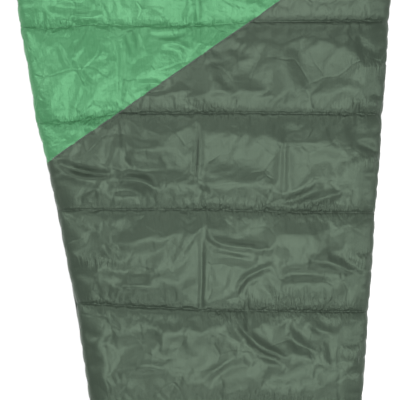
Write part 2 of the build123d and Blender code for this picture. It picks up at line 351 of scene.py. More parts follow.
def stand_for(old):
    """Hides the CAD nodes that a piece stands for."""
    if old:
        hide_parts(*old)


def across_fold(piece, slot, *old):
    """For a piece of the cover across the fold: bakes its placement into its mesh and hides the CAD nodes it
    stands for.
    """
    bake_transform(piece)
    stand_for(old)


def across_neck(piece, slot, *old):
    """For a piece across the neck: bakes its placement into its mesh and hides the CAD nodes it stands for."""
    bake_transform(piece)
    stand_for(old)


def on_body(piece, body, slot, *old):
    """For a piece that stays on one body."""
    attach(piece, body)
    stand_for(old)


# ---------------------------------------------------------------- materials


class Shader:
    """A few short-hands for building a node material."""

    def __init__(self, name, **values):
        self.material = bpy.data.materials.new(name)
        self.material.use_nodes = True
        self.tree = self.material.node_tree
        self.surface = self.tree.nodes["Principled BSDF"]
        for socket, value in values.items():
            self.surface.inputs[socket.replace("_", " ")].default_value = value

    def node(self, kind, **sockets):
        made = self.tree.nodes.new(kind)
        for key, value in sockets.items():
            if hasattr(made, key):
                setattr(made, key, value)
            elif isinstance(value, bpy.types.NodeSocket):
                self.tree.links.new(value, made.inputs[key.replace("_", " ")])
            else:
                made.inputs[key.replace("_", " ")].default_value = value
        return made

    def math(self, operation, a, b=None):
        made = self.tree.nodes.new("ShaderNodeMath")
        made.operation = operation
        for socket, value in zip(made.inputs, (a, b)):
            if isinstance(value, bpy.types.NodeSocket):
                self.tree.links.new(value, socket)
            elif value is not None:
                socket.default_value = value
        return made.outputs[0]

    def place(self, uv=True):
        """Coordinates in metres: along the cloth if it has a uv map, otherwise through the object."""
        if uv:
            return self.node("ShaderNodeUVMap", uv_map="cloth").outputs["UV"]
        return self.node("ShaderNodeTexCoord").outputs["Object"]

    def noise(self, place, size, detail=3.0, rough=0.55):
        made = self.node("ShaderNodeTexNoise", Vector=place, Scale=1 / size, Detail=detail, Roughness=rough)
        return made.outputs["Fac"]

    def bands(self, place, period, direction="X", twist=0.0):
        made = self.node("ShaderNodeTexWave", Vector=place, Scale=pi / 10 / period, Distortion=twist)
        made.bands_direction = direction
        made.inputs["Detail Scale"].default_value = 1.0
        return made.outputs["Fac"]

    def colour(self, amount, low, high, span=(0.3, 0.7)):
        ramp = self.node("ShaderNodeValToRGB", Fac=amount)
        for stop, where, shade in zip(ramp.color_ramp.elements, span, (low, high)):
            stop.position, stop.color = where, (*shade, 1)
        self.tree.links.new(ramp.outputs["Color"], self.surface.inputs["Base Color"])

    def range(self, amount, low, high):
        made = self.node("ShaderNodeMapRange", Value=amount, To_Min=low, To_Max=high)
        return made.outputs["Result"]

    def drive(self, socket, value):
        self.tree.links.new(value, self.surface.inputs[socket])

    def bump(self, *layers):
        """Stacks height layers, each (height, strength, distance)."""
        below = None
        for height, strength, distance in layers:
            made = self.node("ShaderNodeBump", Height=height, Strength=strength, Distance=distance)
            if below:
                self.tree.links.new(below, made.inputs["Normal"])
            below = made.outputs["Normal"]
        self.tree.links.new(below, self.surface.inputs["Normal"])

    def creases(self, place):
        """0 along some of the edges of a wandering net of cells, 1 elsewhere."""
        wander = self.node("ShaderNodeTexNoise", Vector=place, Scale=9.0, Detail=2.0)
        pull = self.node("ShaderNodeVectorMath", operation="SCALE")
        self.tree.links.new(wander.outputs["Color"], pull.inputs[0])
        pull.inputs["Scale"].default_value = 0.05
        bent = self.node("ShaderNodeVectorMath", operation="ADD")
        self.tree.links.new(place, bent.inputs[0])
        self.tree.links.new(pull.outputs["Vector"], bent.inputs[1])
        net = self.node(
            "ShaderNodeTexVoronoi", feature="DISTANCE_TO_EDGE", Vector=bent.outputs["Vector"], Scale=13.0
        )
        near = self.math("MULTIPLY", self.math("MINIMUM", net.outputs["Distance"], 0.05), 20.0)
        some = self.math("GREATER_THAN", self.noise(place, 0.06, 1.0), 0.47)
        return self.math("SUBTRACT", 1.0, self.math("MULTIPLY", self.math("SUBTRACT", 1.0, near), some))


def satin(name, deep, light, roughness, crisp, gloss, tint=1.0):
    """Shiny polyester taffeta: a plain weave, soft colour drift and the small crinkles of a light shell. crisp
    is how deep the crinkles are, and tint how much of the cloth's colour the highlights take."""
    s = Shader(name, Metallic=gloss, Sheen_Weight=0.1, Sheen_Roughness=0.4, Specular_IOR_Level=0.4)
    s.surface.inputs["Sheen Tint"].default_value = (*[min(1, 3 * c + 0.1) for c in light], 1)
    s.surface.inputs["Specular Tint"].default_value = (*[1 - tint * (1 - c / max(light)) for c in light], 1)
    at, solid = s.place(), s.place(uv=False)
    thread = s.node("ShaderNodeMapping", Vector=at, Scale=(1.0, 0.03, 1.0)).outputs["Vector"]
    streak = s.math("MULTIPLY", s.noise(thread, 0.0022, 2), 0.45)
    drift = s.math("ADD", s.math("MULTIPLY", s.noise(solid, 0.12, 4), 0.55), streak)
    s.colour(drift, deep, light, (0.36, 0.64))
    s.drive("Roughness", s.range(s.noise(solid, 0.05, 3), roughness - 0.06, roughness + 0.08))
    weave = s.math("MULTIPLY", s.bands(at, 0.0007, "X"), s.bands(at, 0.0007, "Y"))
    crinkle = s.noise(solid, 0.016, 4, 0.6)
    gather = s.node("ShaderNodeAttribute", attribute_name="gather").outputs["Fac"]
    pleat = s.node("ShaderNodeMapping", Vector=solid, Scale=(1.0, 0.22, 1.0)).outputs["Vector"]
    pleats = s.math("MULTIPLY", s.noise(pleat, 0.0055, 2, 0.5), gather)
    fine = s.noise(solid, 0.007, 3, 0.6)
    s.bump(
        (crinkle, 0.45, 0.0018 * crisp),
        (s.creases(solid), 0.5, 0.0007 * crisp),
        (fine, 0.30, 0.0008 * crisp),
        (pleats, 1.0, 0.0040),
        (weave, 0.15, 0.0002),
    )
    return s.material


def taffeta(name, deep, light):
    """Matt lining cloth."""
    s = Shader(name, Sheen_Weight=0.12, Roughness=0.42, Specular_IOR_Level=0.35)
    at, solid = s.place(), s.place(uv=False)
    s.colour(s.noise(solid, 0.1, 4), deep, light)
    weave = s.math("MULTIPLY", s.bands(at, 0.0008, "X"), s.bands(at, 0.0008, "Y"))
    s.bump((s.noise(solid, 0.022, 4), 0.8, 0.003), (weave, 0.3, 0.0003))
    return s.material


def webbing(name, deep, light, uv=True, period=0.0016):
    """Ribbed woven tape."""
    s = Shader(name, Sheen_Weight=0.3, Roughness=0.7)
    at, solid = s.place(uv), s.place(uv=False)
    rib = s.bands(at, period, "Y")
    thread = s.bands(at, period * 0.6, "X")
    both = s.math("MULTIPLY", rib, thread)
    drift = s.math("MULTIPLY", s.noise(solid, 0.01), 0.5)
    s.colour(s.math("ADD", s.math("MULTIPLY", both, 0.5), drift), deep, light)
    s.bump((both, 0.8, 0.0005))
    return s.material


def plastic(name, shade, roughness=0.38):
    """Moulded plastic with a faint grain."""
    s = Shader(name, Specular_IOR_Level=0.5)
    solid = s.place(uv=False)
    s.colour(s.noise(solid, 0.004, 3), [c * 0.85 for c in shade], [c * 1.2 + 0.004 for c in shade])
    s.drive("Roughness", s.range(s.noise(solid, 0.002, 4), roughness - 0.08, roughness + 0.12))
    s.bump((s.noise(solid, 0.0004, 3), 0.25, 0.0001))
    return s.material


def coated_metal(name, shade, bare):
    """Painted die-cast metal with the paint rubbed off its edges."""
    s = Shader(name, Metallic=0.85)
    solid = s.place(uv=False)
    edge = s.node("ShaderNodeNewGeometry").outputs["Pointiness"]
    worn = s.math("ADD", s.range(edge, -0.9, 1.1), s.math("MULTIPLY", s.noise(solid, 0.0015, 4), 0.5))
    s.colour(worn, shade, bare, (0.45, 0.8))
    s.drive("Roughness", s.range(s.noise(solid, 0.001, 3), 0.28, 0.5))
    s.bump((s.noise(solid, 0.0005, 3), 0.2, 0.0001))
    return s.material


def fibre(name, shade):
    """Loose white filling."""
    s = Shader(name, Roughness=0.95)
    solid = s.place(uv=False)
    s.colour(s.noise(solid, 0.006, 6), [c * 0.8 for c in shade], shade)
    s.bump((s.noise(solid, 0.002, 6), 1.0, 0.002))
    return s.material


def braid(name, deep, light):
    """Braided cord: two sets of diagonal strands."""
    s = Shader(name, Roughness=0.75)
    solid = s.place(uv=False)
    one, two = s.bands(solid, 0.0018, "DIAGONAL"), s.bands(solid, 0.0013, "Y", 2.0)
    both = s.math("MULTIPLY", one, two)
    s.colour(both, deep, light, (0.1, 0.6))
    s.bump((both, 0.8, 0.0005))
    return s.material


def hook_and_loop(name, shade):
    """The rough face of a hook-and-loop patch."""
    s = Shader(name, Roughness=0.9, Sheen_Weight=0.4)
    solid = s.place(uv=False)
    loops = s.node("ShaderNodeTexVoronoi", Vector=solid, Scale=900.0).outputs["Distance"]
    s.colour(loops, [c * 0.5 for c in shade], [c * 1.8 for c in shade], (0.1, 0.6))
    s.bump((loops, 1.0, 0.0006))
    return s.material


GREEN = satin("green_satin", (0.0435, 0.155, 0.067), (0.059, 0.185, 0.085), 0.30, 2.0, 0.21, 0.65)
DARK = satin("olive_satin", (0.0246, 0.0346, 0.0256), (0.0314, 0.0430, 0.0315), 0.345, 0.88, 0.078)
LINING = taffeta("lining_taffeta", (0.022, 0.026, 0.024), (0.031, 0.036, 0.033))
FILL = fibre("hollow_fibre", (0.78, 0.78, 0.75))
BINDING = webbing("binding_tape", (0.022, 0.034, 0.024), (0.040, 0.056, 0.042))
THREAD_DARK = webbing("dark_thread", (0.030, 0.046, 0.032), (0.048, 0.070, 0.050), uv=False, period=0.0004)
THREAD_GREEN = webbing("green_thread", (0.030, 0.110, 0.045), (0.045, 0.150, 0.062), uv=False, period=0.0004)
WEBBING = webbing("loop_webbing", (0.016, 0.018, 0.017), (0.036, 0.040, 0.037), uv=False)
TAPE = webbing("zip_tape", (0.018, 0.022, 0.019), (0.034, 0.040, 0.035))
TAPE_SOLID = webbing("zip_tape_solid", (0.018, 0.022, 0.019), (0.034, 0.040, 0.035), uv=False)
COIL = plastic("zip_coil", (0.020, 0.024, 0.021), 0.32)
METAL = coated_metal("zip_metal", (0.030, 0.034, 0.031), (0.26, 0.25, 0.23))
STEEL = coated_metal("steel", (0.50, 0.50, 0.49), (0.72, 0.71, 0.69))
RUBBER = plastic("grip_rubber", (0.050, 0.190, 0.075), 0.62)
TOGGLE = plastic("toggle_plastic", (0.022, 0.025, 0.022), 0.42)
CORD = braid("braided_cord", (0.018, 0.024, 0.019), (0.075, 0.100, 0.078))
HOOKS = hook_and_loop("hook_and_loop", (0.025, 0.027, 0.025))


ZIP_FADE = 0.012  # the length over which the zip's edges come and go at its ends


def on_zip(x, y):
    """1 where the edge of the bag carries the zip, 0 elsewhere, with soft ends."""
    low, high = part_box("zip_tape_base")
    return smooth((y - low.y) / ZIP_FADE) * smooth((high.y - y) / ZIP_FADE) * (x > 0)


# ---------------------------------------------------------------- the cover

CELL = 0.0048  # spacing of the cover's rows
COLUMNS = 152  # cells across the cover between its rolled edges
ROLL = 9  # cells round each rolled edge
ROLL_WIDTH = 0.048  # how far in from each side the cover is at its full height
END_ROLL = 0.030  # and from the foot and the neck
SEAM_HEIGHT = 0.0475  # the cloth's height along the quilting
PUFF_HEIGHT = COVER_TOP - 0.0015  # and midway between
ZIP_BULGE = 0.0035  # how far the cover stands out over the zip
HEM_BULGE = 0.0014  # and at the zip's top end
BULGE_TOP, BULGE_FADE = 0.59, 0.06  # y where the larger bulge ends, and the length over which it fades
ZIP_EDGE_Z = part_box("zip_slider")[1].z + 0.0008  # the cover's edge over the zip, clear of the slider
TAPE_HIDDEN = 0.0020  # the zip tape's upper edge is tucked this far under the cover's fabric
TAB_LOW, TAB_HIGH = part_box("closure_tab_anchor")
TAB_REST = TAB_LOW.z - 0.0005  # the fabric's height under the closure tab's sewn end
TAB_ROLL = 0.016  # how far in from the neck it reaches that height
SEAM_END_INSET = 0.012  # the colour seam ends this far from the zip edge, where the cover turns down
FILL_INSET = 0.0065  # the cover's filling stays this far inside both its cloths
CLOTH_FRAMES = 22
MOST_MOVED = 0.009  # the furthest that the simulation may move a point


def cover_rows():
    """Values of y from the foot to the neck, closer together at every quilting line, with how far each end
    has rolled down."""
    stops = [LOOP[:, 1].min() + 0.0005, *QUILT_LINES, NECK_Y]
    rows = [stops[0]]
    for low, high in zip(stops, stops[1:]):
        near = np.array([0.0016, 0.0042, 0.0085])  # how far from a line the rows beside it are
        middle = np.linspace(low + near[-1], high - near[-1], round((high - low - 2 * near[-1]) / CELL) + 1)
        rows += [*(low + near[:-1]), *middle, *(high - near[:-1])[::-1], high]
    rows = np.array(rows)
    roll = np.linspace(0, pi / 2, 8)[:-1]
    low, high = rows[0], rows[-1]
    rows = rows[(rows > low + END_ROLL) & (rows < high - END_ROLL)]
    rolled = END_ROLL * (1 - np.cos(roll))
    all_rows = np.concatenate([low + rolled, rows, (high - rolled)[::-1]])
    ends = np.concatenate([np.sin(roll) ** 0.8, np.ones(len(rows)), (np.sin(roll) ** 0.8)[::-1]])
    return all_rows, ends, stops


def bent_line(points):
    """How far a quilting line has been pulled along y, at each x."""
    xs, ys = zip(*points)
    return lambda x: np.interp(x, xs, ys)


# How handling has pulled some quilting lines along y: (x, shift)
LINE_BENDS = {
    0.124: bent_line([(-0.36, -0.020), (-0.27, -0.018), (-0.17, 0.000), (0.1, 0.001), (0.4, -0.003)]),
    0.306: bent_line(
        [(-0.39, -0.006), (-0.32, -0.012), (-0.23, -0.004), (-0.05, -0.008), (0.1, 0.002), (0.4, 0.004)]
    ),
    -0.074: bent_line([(-0.3, 0.004), (0.0, 0.005), (0.2, -0.001), (0.4, -0.001)]),
    -0.272: bent_line([(-0.27, 0.016), (-0.12, 0.007), (0.0, 0.001), (0.35, -0.003)]),
}

# Folds pressed into the cover by packing and handling: points, height (below 0 for a valley), half-width
FOLDS = [
    # lengthwise packing creases
    ([(-0.028, 0.60), (-0.030, 0.46), (-0.024, 0.33), (-0.019, 0.24)], -0.0022, 0.006),
    ([(-0.016, 0.60), (-0.017, 0.46), (-0.012, 0.33), (-0.008, 0.24)], 0.0018, 0.008),
    ([(-0.015, 0.11), (-0.018, 0.04), (-0.022, -0.03)], -0.0020, 0.006),
    ([(-0.004, 0.11), (-0.008, 0.04), (-0.012, -0.03)], 0.0018, 0.008),
    ([(-0.006, -0.10), (-0.005, -0.20), (-0.008, -0.30)], -0.0018, 0.007),
    ([(-0.165, 0.30), (-0.166, 0.22), (-0.166, 0.14)], -0.0014, 0.007),
    ([(0.161, 0.10), (0.160, 0.02), (0.158, -0.06)], -0.0012, 0.008),
    ([(0.085, -0.24), (0.086, -0.29), (0.088, -0.34)], -0.0026, 0.006),
    ([(-0.010, -0.46), (-0.012, -0.60), (-0.010, -0.80)], -0.0016, 0.007),
    # the pinch at the colour seam's low end
    ([(-0.312, 0.040), (-0.278, 0.016), (-0.22, 0.002), (-0.165, 0.004)], -0.0065, 0.0085),
    ([(-0.296, 0.010), (-0.24, -0.012), (-0.19, -0.010)], 0.0030, 0.010),
    # left of the middle, below the colour seam
    ([(-0.19, 0.045), (-0.12, 0.006), (-0.06, 0.008), (-0.02, 0.012)], -0.0045, 0.018),
    ([(-0.20, 0.055), (-0.12, 0.052), (-0.05, 0.046)], 0.0035, 0.016),
    ([(-0.21, -0.012), (-0.13, -0.008), (-0.09, -0.030), (-0.075, -0.055)], 0.0045, 0.012),
    ([(-0.20, -0.035), (-0.15, -0.030), (-0.115, -0.050)], -0.0035, 0.010),
    ([(-0.24, -0.045), (-0.215, -0.025), (-0.205, -0.055)], 0.0035, 0.008),
    # right, between the lines above the middle
    ([(0.27, -0.008), (0.20, -0.042), (0.165, -0.056), (0.12, -0.038)], -0.0050, 0.012),
    ([(0.30, -0.030), (0.22, -0.050), (0.175, -0.066)], 0.0032, 0.010),
    ([(0.26, 0.085), (0.20, 0.060), (0.13, 0.072)], 0.0030, 0.020),
    ([(0.30, 0.070), (0.345, 0.045), (0.37, 0.050)], -0.0022, 0.008),
    # the channel right of the middle
    ([(-0.004, -0.110), (0.018, -0.136), (0.060, -0.144), (0.150, -0.152)], 0.0040, 0.009),
    ([(0.010, -0.150), (0.060, -0.166), (0.115, -0.170)], 0.0030, 0.012),
    ([(0.185, -0.172), (0.250, -0.172), (0.285, -0.190), (0.325, -0.212)], 0.0050, 0.011),
    ([(0.120, -0.205), (0.200, -0.196), (0.270, -0.205)], -0.0040, 0.014),
    ([(0.060, -0.250), (0.072, -0.212), (0.110, -0.190), (0.150, -0.180)], 0.0034, 0.008),
    ([(0.270, -0.192), (0.285, -0.220), (0.296, -0.244)], 0.0020, 0.004),
    # below it
    ([(0.048, -0.300), (0.074, -0.296), (0.096, -0.334), (0.140, -0.358), (0.180, -0.378)], 0.0055, 0.010),
    ([(0.155, -0.290), (0.185, -0.340), (0.240, -0.356)], -0.0055, 0.015),
    ([(0.190, -0.286), (0.230, -0.310), (0.270, -0.318)], 0.0030, 0.010),
    ([(0.095, -0.352), (0.150, -0.372), (0.175, -0.392)], -0.0030, 0.009),
    ([(-0.01, -0.410), (0.030, -0.386), (0.060, -0.356)], 0.0032, 0.010),
    # left channels
    ([(-0.24, -0.125), (-0.17, -0.140), (-0.10, -0.125), (-0.04, -0.150)], 0.0034, 0.018),
    ([(-0.22, -0.170), (-0.14, -0.200), (-0.06, -0.190)], -0.0034, 0.016),
    ([(-0.20, -0.235), (-0.14, -0.220), (-0.07, -0.238)], 0.0026, 0.012),
    ([(-0.21, -0.320), (-0.15, -0.345), (-0.09, -0.330)], -0.0028, 0.016),
    ([(-0.18, -0.400), (-0.12, -0.380), (-0.06, -0.395)], 0.0028, 0.014),
    # the green panel
    ([(-0.30, 0.275), (-0.275, 0.215), (-0.262, 0.205)], -0.0022, 0.006),
    ([(-0.265, 0.240), (-0.24, 0.195), (-0.22, 0.165)], -0.0024, 0.006),
    ([(-0.16, 0.295), (-0.150, 0.260), (-0.142, 0.235)], -0.0022, 0.005),
    ([(-0.140, 0.298), (-0.132, 0.268), (-0.126, 0.244)], -0.0018, 0.005),
    ([(-0.33, 0.150), (-0.300, 0.140), (-0.28, 0.146)], 0.0030, 0.007),
    ([(-0.30, 0.330), (-0.23, 0.318), (-0.19, 0.324)], 0.0040, 0.010),
    ([(-0.33, 0.345), (-0.25, 0.336), (-0.20, 0.318)], -0.0030, 0.008),
    ([(-0.12, 0.284), (-0.07, 0.282), (-0.02, 0.292)], -0.0046, 0.008),
    ([(-0.10, 0.268), (-0.05, 0.266), (-0.02, 0.240)], 0.0034, 0.010),
    ([(-0.145, 0.180), (-0.10, 0.184), (-0.07, 0.178)], 0.0026, 0.006),
    ([(-0.150, 0.166), (-0.10, 0.168), (-0.06, 0.170)], -0.0026, 0.006),
    ([(-0.26, 0.112), (-0.22, 0.100), (-0.19, 0.104)], 0.0036, 0.009),
]

# Where the stitching has gathered the cloth most: x, y, radius
GATHERS = [
    (0.17, -0.262, 0.07), (0.24, -0.266, 0.06), (0.17, -0.064, 0.06), (0.23, -0.066, 0.05),
    (0.34, 0.140, 0.05), (0.12, -0.455, 0.07), (0.19, -0.460, 0.05), (-0.24, 0.110, 0.05),
    (-0.29, 0.296, 0.05), (0.02, 0.128, 0.04), (0.02, -0.062, 0.03), (-0.05, 0.300, 0.03),
    (0.05, -0.285, 0.04), (0.365, 0.40, 0.06), (0.360, 0.22, 0.06), (0.350, 0.03, 0.05),
    (0.335, -0.17, 0.06), (0.325, -0.36, 0.06), (-0.33, 0.43, 0.05), (-0.22, -0.17, 0.04),
]  # fmt: skip


def smooth_line(points):
    """A run of points rounded at its corners, every 1.5 mm."""
    run = resample([(a, b, 0) for a, b in points], 0.0015)[:, :2]
    width = max(3, len(run) // 8 * 2 + 1)
    for _ in range(2):
        padded = np.concatenate([np.repeat(run[:1], width // 2, 0), run, np.repeat(run[-1:], width // 2, 0)])
        run = np.stack([np.convolve(padded[:, k], np.ones(width) / width, "valid") for k in (0, 1)], 1)
    return run


def add_fold(x, y, z, points, rise, spread):
    """Adds a soft ridge or valley along a run of points, dying out at its ends."""
    run = smooth_line(points)
    box = 3 * spread + 0.01
    near = (x > run[:, 0].min() - box) & (x < run[:, 0].max() + box)
    near &= (y > run[:, 1].min() - box) & (y < run[:, 1].max() + box)
    gap = np.hypot(x[near][:, None] - run[:, 0], y[near][:, None] - run[:, 1])
    share = gap.argmin(1) / (len(run) - 1)
    fade = smooth(share / 0.45) * smooth((1 - share) / 0.45)
    z[near] += rise * np.exp(-((gap.min(1) / spread) ** 2)) * fade


def fill_corner(x, y, z, edge, lift):
    """Fills the cover's corner under the closure tab, so that the tab lies on it. The cover rolls down more
    tightly to the neck there."""
    from_neck = np.clip((y[-1].max() - y) / TAB_ROLL, 0, 1)
    tight = np.sqrt(1 - (1 - from_neck) ** 2) ** 0.9
    full = edge + (TAB_REST - edge) * tight * lift
    by_tab = smooth((x - TAB_LOW.x + 0.055) / 0.045) * smooth((y - TAB_LOW.y + 0.045) / 0.035)
    return z + np.maximum(full - z, 0) * by_tab


def press_under_tab(shape):
    """Keeps the fabric below the closure tab, where the tab presses on it."""
    x, y = shape[..., 0], shape[..., 1]
    beside = np.maximum(abs(y - (TAB_LOW.y + TAB_HIGH.y) / 2) - 0.016, 0)
    before = np.maximum(TAB_LOW.x - 0.002 - x, 0)
    shape[..., 2] = np.minimum(shape[..., 2], TAB_REST + 0.5 * np.hypot(beside, before))


def cover_shape():
    """The cover's outer fabric before it is slackened: rows from the foot, columns from the left."""
    rows, ends, stops = cover_rows()
    left, right = sides_at(rows)
    puff = channels(rows, stops)
    pucker = abs(np.sin(pi * rows / 0.031 + 0.8 * np.sin(rows * 23)))
    below_hem = smooth((BULGE_TOP - rows) / BULGE_FADE)
    over_zip = HEM_BULGE + (ZIP_BULGE - HEM_BULGE) * below_hem
    right_wall = right
    right = right + over_zip * (0.35 + 0.65 * puff) + 0.0014 * pucker * below_hem
    left = left - 0.0010 * abs(np.sin(pi * rows / 0.043 + 1.3 * np.sin(rows * 17)))
    phi = np.linspace(0, pi / 2, ROLL + 1)[:-1]
    flat = np.linspace(0, 1, COLUMNS + 1)
    height = SEAM_HEIGHT + (PUFF_HEIGHT - SEAM_HEIGHT) * puff
    roll = np.minimum(ROLL_WIDTH, (right - left) / 4)[:, None]
    swell = 0.003 * (puff * ends)[:, None] * np.sin(2 * phi)
    rolled = roll * (1 - np.cos(phi)) - swell
    inner = left[:, None] + roll + (right - left - 2 * roll[:, 0])[:, None] * flat
    x = np.hstack([left[:, None] + rolled, inner, right[:, None] - rolled[:, ::-1]])
    lift = np.concatenate([np.sin(phi) ** 0.9, np.ones(len(flat)), (np.sin(phi) ** 0.9)[::-1]])
    y = np.repeat(rows[:, None], x.shape[1], 1)
    zipped = on_zip(1, rows) * smooth(ends * 4)
    left_edge = np.full(len(rows), SEAM_Z + 0.003)
    right_edge = left_edge + (ZIP_EDGE_Z - left_edge) * zipped
    side = np.concatenate([np.zeros(ROLL), flat, np.ones(ROLL)])
    edge = left_edge[:, None] * (1 - side) + right_edge[:, None] * side
    z = edge + (height[:, None] - edge) * ends[:, None] * lift
    x[:, -1] = right_wall - 0.0003
    x[:, -2] += np.maximum(right_wall + 0.0014 - x[:, -2], 0) * zipped
    room = (puff * ends)[:, None] * lift
    z += room * (0.0040 * cloud(x, y, 0.17, 3.0) + 0.0016 * cloud(x, y, 0.06, 8.0, 1.6))
    tops = z.copy()
    for fold in FOLDS:
        add_fold(x, y, tops, *fold)
    z += (tops - z) * smooth(room * 3) * smooth(lift * 1.2)
    z = fill_corner(x, y, z, edge, lift)
    for line, bend in LINE_BENDS.items():
        y += bend(x) * np.exp(-(((rows - line) / 0.045) ** 2))[:, None]
    seam_rows = [int(abs(rows - line).argmin()) for line in QUILT_LINES]
    return np.stack([x, y, z], -1), seam_rows, puff * ends


def slack_map(shape, seam_rows):
    """How much spare cloth each place has, how near it is to stitching, and how gathered it is, all from 0 to
    1."""
    x, y = shape[..., 0], shape[..., 1]
    near = np.zeros(x.shape)
    for row in seam_rows:
        away = abs(y - y[row])
        near = np.maximum(near, np.exp(-((away / 0.018) ** 2)))
    spots = np.zeros(x.shape)
    for cx, cy, radius in GATHERS:
        spots = np.maximum(spots, np.exp(-(((x - cx) / radius) ** 2 + ((y - cy) / (0.35 * radius)) ** 2)))
    patch = 0.5 + 0.5 * cloud(x, y, 0.11, 31.0)
    (ax, ay), _ = COLOUR_SEAM
    green = y > ay + (x - ax) * round(SEAM_SLOPE, 3)
    slack = 0.36 + 0.12 * green + 0.30 * (patch - 0.4) + 0.35 * near * (0.3 + patch) + 0.60 * spots
    return np.clip(slack, 0, 1), near, np.clip(near * (0.2 + 0.6 * patch**2) + spots, 0, 1)


def slacken(shape, seam_rows, slack, near):
    """Lets the spare cloth buckle into gathers by Blender's cloth simulation, held at the stitching and,
    loosely, by the filling."""
    piece = grid_object("cover_cloth", shape)
    hold = np.round(0.05 + 0.20 * near, 2)
    hold[:, :5] = hold[:, -5:] = 0.3
    hold[:2] = hold[-2:] = 1
    hold[:, 0] = hold[:, -1] = 1
    hold[seam_rows] = 1
    for name, weights in (("hold", hold), ("tight", np.round(1 - slack, 2))):
        group = piece.vertex_groups.new(name=name)
        for weight in np.unique(weights):
            group.add(np.nonzero(weights.ravel() == weight)[0].tolist(), float(weight), "REPLACE")
    cloth = piece.modifiers.new("cloth", "CLOTH")
    s = cloth.settings
    s.quality, s.mass, s.air_damping = 4, 0.15, 1.5
    s.tension_stiffness = s.compression_stiffness = 15
    s.shear_stiffness, s.bending_stiffness = 5, 0.05
    s.tension_damping = s.compression_damping = s.shear_damping = 5
    s.vertex_group_mass, s.pin_stiffness = "hold", 1.0
    s.vertex_group_shrink = "tight"
    s.shrink_min, s.shrink_max = -0.032, 0.0  # below 0 the cloth is larger than its place
    s.effector_weights.gravity = 0
    cloth.collision_settings.use_collision = False
    cloth.collision_settings.use_self_collision = False
    cloth.point_cache.frame_start, cloth.point_cache.frame_end = 1, CLOTH_FRAMES
    for step in range(1, CLOTH_FRAMES + 1):
        bpy.context.scene.frame_set(step)
    shown = piece.evaluated_get(bpy.context.evaluated_depsgraph_get())
    moved = np.array([v.co for v in shown.data.vertices]).reshape(shape.shape) - shape
    bpy.data.objects.remove(piece)
    bpy.context.scene.frame_set(1)
    far = np.linalg.norm(moved, axis=2, keepdims=True)
    return shape + moved * np.minimum(1, MOST_MOVED / np.maximum(far, 1e-9))


def crease_again(shape, puff):
    """Sharpens the pressed folds, which the filling has rounded."""
    tops = shape[..., 2].copy()
    for points, rise, spread in FOLDS:
        add_fold(shape[..., 0], shape[..., 1], tops, points, 0.55 * rise, max(0.65 * spread, 0.0045))
    shape[:, 5:-5, 2] += ((tops - shape[..., 2]) * smooth(puff * 3)[:, None])[:, 5:-5]


def cut(work, place, across, sides):
    """Cuts an open mesh along a plane and clears one side of it."""
    geometry = [*work.verts, *work.edges, *work.faces]
    bmesh.ops.bisect_plane(work, geom=geometry, plane_co=place, plane_no=across, dist=1e-5, **sides)


def build_cover():
    """The cover's outer fabric, cut along the colour seam into its green and its dark panel."""
    shape, seam_rows, puff = cover_shape()
    slack, near, gather = slack_map(shape, seam_rows)
    shape = slacken(shape, seam_rows, slack, near)
    crease_again(shape, puff)
    press_under_tab(shape)
    whole = grid_object("cover_cloth", shape)
    set_gather(whole.data, gather.ravel())
    (ax, ay), (bx, by) = COLOUR_SEAM
    across = Vector((-(by - ay), bx - ax, 0)).normalized()
    for name, is_green, material, slot, old in (
        ("chest_panel_cloth", True, GREEN, "shell_green", ("chest_panel", "chest_panel_flap")),
        ("leg_panel_cloth", False, DARK, "shell_dark", ("leg_panel", "leg_panel_flap")),
    ):
        panel = add_object(name, whole.data.copy())
        sides = {"clear_inner": is_green, "clear_outer": not is_green}
        edit_mesh(panel, lambda work: cut(work, (ax, ay, 0), across, sides))
        panel.data.materials.append(material)
        across_fold(panel, slot, *old)
    bpy.data.objects.remove(whole)
    return shape, seam_rows


def laid_on_cover(shape, line):
    """A line of (x, y) points laid on the cover, each height averaged with its four neighbours'."""
    cloth = shape.reshape(-1, 3)
    line = np.array([(x, y, height_at(cloth, x, y)) for x, y in line])
    line[2:-2, 2] = np.convolve(line[:, 2], np.ones(5) / 5, "valid")
    return line


def build_cover_sewing(shape, seam_rows):
    """Thread along the quilting lines and the colour seam, and the binding round the neck edge."""
    (ax, ay), (bx, by) = COLOUR_SEAM
    green, dark = [], []
    for row in seam_rows:
        path = shape[row]
        above = path[:, 1] > ay + SEAM_SLOPE * (path[:, 0] - ax)
        change = np.nonzero(np.diff(above.astype(int)))[0]
        for part in np.split(path[2:-2], change - 1 if len(change) else []):
            if len(part) > 3:
                is_green = part[:, 1].mean() > ay + SEAM_SLOPE * (part[:, 0].mean() - ax)
                (green if is_green else dark).append((part, 0.0002))
    line = np.array([(ax + (bx - ax) * t, ay + (by - ay) * t) for t in np.linspace(0.0, 1.0, 150)])
    left, right = sides_at(line[:, 1])
    line = line[(line[:, 0] > left + 0.004) & (line[:, 0] < right - SEAM_END_INSET)]
    seam = resample(laid_on_cover(shape, line) + (0, 0, 0.0002), 0.006)
    beside = line[2:-2] + np.array([SEAM_SLOPE, -1]) / np.hypot(SEAM_SLOPE, 1) * 0.0035
    dark.append((laid_on_cover(shape, beside), 0.0006))
    neck = resample(shape[-2, 3:-3], 0.006) + (0, 0.001, 0.001)
    for piece, slot in (
        (tube("colour_seam", seam, 0.0022, 0.0012, THREAD_DARK, sides=8), "shell_dark"),
        (stitches("quilting_green", green, THREAD_GREEN), "shell_green"),
        (stitches("quilting_dark", dark, THREAD_DARK), "shell_dark"),
        (tube("neck_binding", neck, 0.0036, 0.009, BINDING, sides=10, ends=0.004), "shell_dark"),
    ):
        across_fold(piece, slot)


